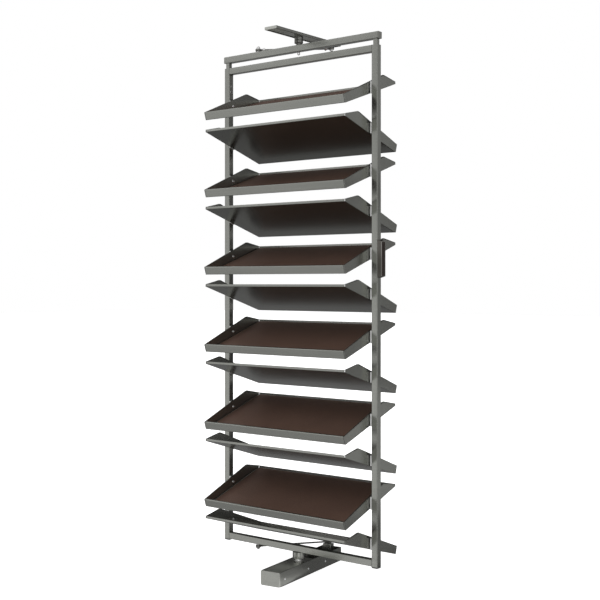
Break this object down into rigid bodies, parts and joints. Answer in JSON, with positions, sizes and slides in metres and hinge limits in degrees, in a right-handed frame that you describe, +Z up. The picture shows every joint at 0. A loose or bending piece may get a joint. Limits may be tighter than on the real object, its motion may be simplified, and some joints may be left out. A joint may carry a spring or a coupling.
{
  "type": "revolving pull-out shoe rack",
  "caption": "Tall tube frame with sloped shelves facing both ways; it slides out of a wardrobe on a floor rail and turns, steered by tie rods and a top rail.",
  "frame": {"origin": "the rack's turning axis at floor level, midway between the two floor screws", "axes": "+Z up along the turning axis; X along the frame's width with the pull handle at +X; -Y towards the user"},
  "size_m": [0.7625, 0.4707, 2.055],
  "materials": {
    "shelf_metal": "satin metallic lacquer",
    "frame_metal": "satin metallic lacquer",
    "rail_metal": "satin metallic lacquer",
    "carriage_metal": "satin metallic lacquer",
    "bright_steel": "bright zinc plated",
    "slide_steel": "zinc plated",
    "dark_steel": "darkened",
    "plug_plastic": "fine matt",
    "handle_metal": "satin",
    "hanger_plastic": "fine satin",
    "trim_metal": "satin",
    "stitch_thread": "waxed thread",
    "handle_leather": "grained",
    "mat": "fine grain, soft sheen"
  },
  "bodies": {
    "base": {"base_channel": "rail_metal", "outer_slides": "slide_steel", "side_screws": "bright_steel", "anchor_post": "rail_metal", "anchor_stud": "bright_steel"},
    "carriage": {"carriage": "carriage_metal", "inner_slides": "slide_steel", "front_cap": "carriage_metal", "pivot_shaft": "bright_steel"},
    "frame": {"shelf_01": "shelf_metal", "shelf_02": "shelf_metal", "shelf_03": "shelf_metal", "shelf_04": "shelf_metal", "shelf_05": "shelf_metal", "shelf_06": "shelf_metal", "shelf_07": "shelf_metal", "shelf_08": "shelf_metal", "shelf_09": "shelf_metal", "shelf_10": "shelf_metal", "shelf_11": "shelf_metal", "shelf_12": "shelf_metal", "mat_01": "mat", "mat_02": "mat", "mat_03": "mat", "mat_04": "mat", "mat_05": "mat", "mat_06": "mat", "mat_07": "mat", "mat_08": "mat", "mat_09": "mat", "mat_10": "mat", "mat_11": "mat", "mat_12": "mat", "hangers_left": "hanger_plastic", "hangers_right": "hanger_plastic", "shelf_screws": "bright_steel", "left_upright": "frame_metal", "right_upright": "frame_metal", "bottom_crossbar": "frame_metal", "upper_crossbar": "frame_metal", "upright_feet": "plug_plastic", "post_guides": "plug_plastic", "post_clamp_screws": "dark_steel", "frame_screws": "bright_steel", "handle_body": "handle_metal", "handle_insert": "handle_leather", "pivot_housing": "frame_metal"},
    "lower_arm": {"lower_tie_rod": "dark_steel", "lower_rod_stud": "bright_steel"},
    "top_beam": {"left_post": "frame_metal", "right_post": "frame_metal", "top_beam": "frame_metal", "beam_end_caps": "frame_metal"},
    "top_head": {"top_runner": "carriage_metal", "top_pivot": "carriage_metal"},
    "top_plate": {"top_channel": "rail_metal", "top_anchor_stud": "bright_steel"},
    "upper_arm": {"upper_tie_rod": "dark_steel", "upper_rod_stud": "bright_steel"},
    "release_pin": {"release_pin": "bright_steel"}
  },
  "joints": [
    {"name": "carriage_slide", "type": "slide", "parent": "base", "child": "carriage", "axis": [0.1305, -0.9914, 0], "range_m": [0, 0.2585]},
    {"name": "frame_turn", "type": "hinge", "parent": "carriage", "child": "frame", "pos_m": [0, 0, 0.07], "axis": [0, 0, -1], "range_deg": [0, 82.5]},
    {"name": "lower_arm_swing", "type": "hinge", "parent": "base", "child": "lower_arm", "pos_m": [-0.03067, 0.23299, 0.076], "axis": [0, 0, 1], "range_deg": [0, 44.2]},
    {"name": "top_height_adjust", "type": "slide", "parent": "frame", "child": "top_beam", "axis": [0, 0, 1], "range_m": [0, 0.06]},
    {"name": "top_plate_turn", "type": "hinge", "parent": "top_beam", "child": "top_head", "pos_m": [0, 0, 2.02], "axis": [0, 0, 1], "range_deg": [0, 90]},
    {"name": "top_slide", "type": "slide", "parent": "top_head", "child": "top_plate", "axis": [0, 1, 0], "range_m": [0, 0.2865]},
    {"name": "upper_arm_swing", "type": "hinge", "parent": "top_plate", "child": "upper_arm", "pos_m": [0, 0.207, 2.0355], "axis": [0, 0, 1], "range_deg": [0, 44.6]},
    {"name": "release_pin_pull", "type": "slide", "parent": "top_beam", "child": "release_pin", "axis": [0, 0, -1], "range_m": [0, 0.008], "stiffness_N_per_m": 300, "springref_m": -0.004}
  ],
  "couplings": [
    {"joint": "carriage_slide", "follows": "frame_turn", "m_per_rad": 0.179},
    {"joint": "lower_arm_swing", "follows": "frame_turn", "ratio": 0.533},
    {"joint": "top_slide", "follows": "top_plate_turn", "m_per_rad": 0.182},
    {"joint": "upper_arm_swing", "follows": "top_plate_turn", "ratio": 0.494}
  ]
}
